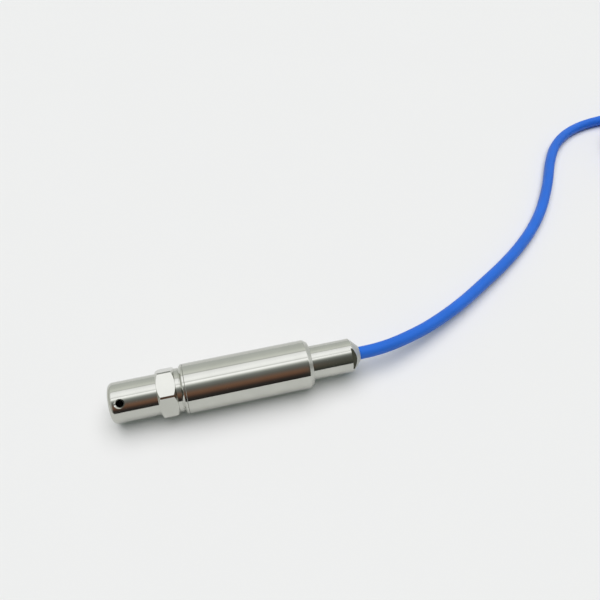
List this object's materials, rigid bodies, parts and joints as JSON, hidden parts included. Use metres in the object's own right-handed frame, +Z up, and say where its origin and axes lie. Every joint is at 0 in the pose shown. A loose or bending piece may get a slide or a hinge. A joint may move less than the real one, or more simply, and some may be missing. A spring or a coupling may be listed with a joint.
{
  "type": "submersible level transmitter",
  "caption": "Stainless submersible level probe with a hexagon collar, a vented nose cap and a blue vented cable leaving a rear gland.",
  "frame": {"origin": "middle of the probe's length, on the surface it lies on, below its axis; the cable isn't counted", "axes": "+X along the probe from the nose to the cable, +Z up from the table, 14 mm below the probe's axis at z = 0"},
  "size_m": [0.5186, 0.2066, 0.0333],
  "materials": {
    "nose_steel": "polished",
    "housing_steel": "polished",
    "tube_steel": "polished",
    "gland_steel": "polished",
    "inner_steel": "turned",
    "cell_steel": "turned",
    "diaphragm_foil": "bright",
    "gold_plating": "plated",
    "gland_brass": "turned",
    "washer_steel": "plain",
    "seal_rubber": "satin",
    "sleeve_plastic": "matte",
    "board_laminate": "satin",
    "chip_resin": "matte",
    "tantalum_resin": "satin",
    "trimmer_plastic": "satin",
    "wire_insulation": "satin",
    "red_insulation": "satin",
    "black_insulation": "satin",
    "bare_copper": "tinned braid",
    "vent_nylon": "satin",
    "cable_jacket": "satin",
    "tie_nylon": "satin"
  },
  "bodies": {
    "probe": {"sensor_housing": "housing_steel", "body_tube": "tube_steel", "gland_body": "gland_steel", "housing_o_ring": "seal_rubber", "gland_o_ring": "seal_rubber", "sensor_cell": "cell_steel", "cell_o_ring": "seal_rubber", "diaphragm": "diaphragm_foil", "diaphragm_weld_ring": "cell_steel", "cell_lock_ring": "inner_steel", "cell_vent_pipe": "inner_steel", "insulating_sleeve": "sleeve_plastic", "circuit_board": "board_laminate", "transmitter_chip": "chip_resin", "amplifier_chip": "chip_resin", "input_capacitor": "tantalum_resin", "output_capacitor": "tantalum_resin", "surge_suppressor": "chip_resin", "polarity_diode": "chip_resin", "choke": "chip_resin", "trim_resistor": "trimmer_plastic", "gland_washer_rear": "washer_steel", "gland_seal": "seal_rubber", "gland_washer_front": "washer_steel", "gland_screw": "gland_brass", "inner_lead_red": "red_insulation", "inner_lead_black": "black_insulation", "inner_lead_shield": "bare_copper", "inner_vent_tube": "vent_nylon", "cable_run": "cable_jacket", "cable_coil": "cable_jacket", "cable_tail": "cable_jacket", "lead_red": "red_insulation", "lead_black": "black_insulation", "lead_shield": "bare_copper", "vent_tube": "vent_nylon", "cell_pin_1": "gold_plating", "cell_pin_2": "gold_plating", "cell_pin_3": "gold_plating", "cell_pin_4": "gold_plating", "cell_pin_5": "gold_plating", "cell_wire_1": "wire_insulation", "cell_wire_2": "wire_insulation", "cell_wire_3": "wire_insulation", "cell_wire_4": "wire_insulation", "coil_tie_1": "tie_nylon", "coil_tie_2": "tie_nylon", "coil_tie_3": "tie_nylon"},
    "cap": {"nose_cap": "nose_steel"}
  },
  "joints": [
    {"name": "nose_cap_unscrew", "type": "slide", "parent": "probe", "child": "cap", "axis": [-1, 0, 0], "range_m": [0, 0.03]}
  ]
}
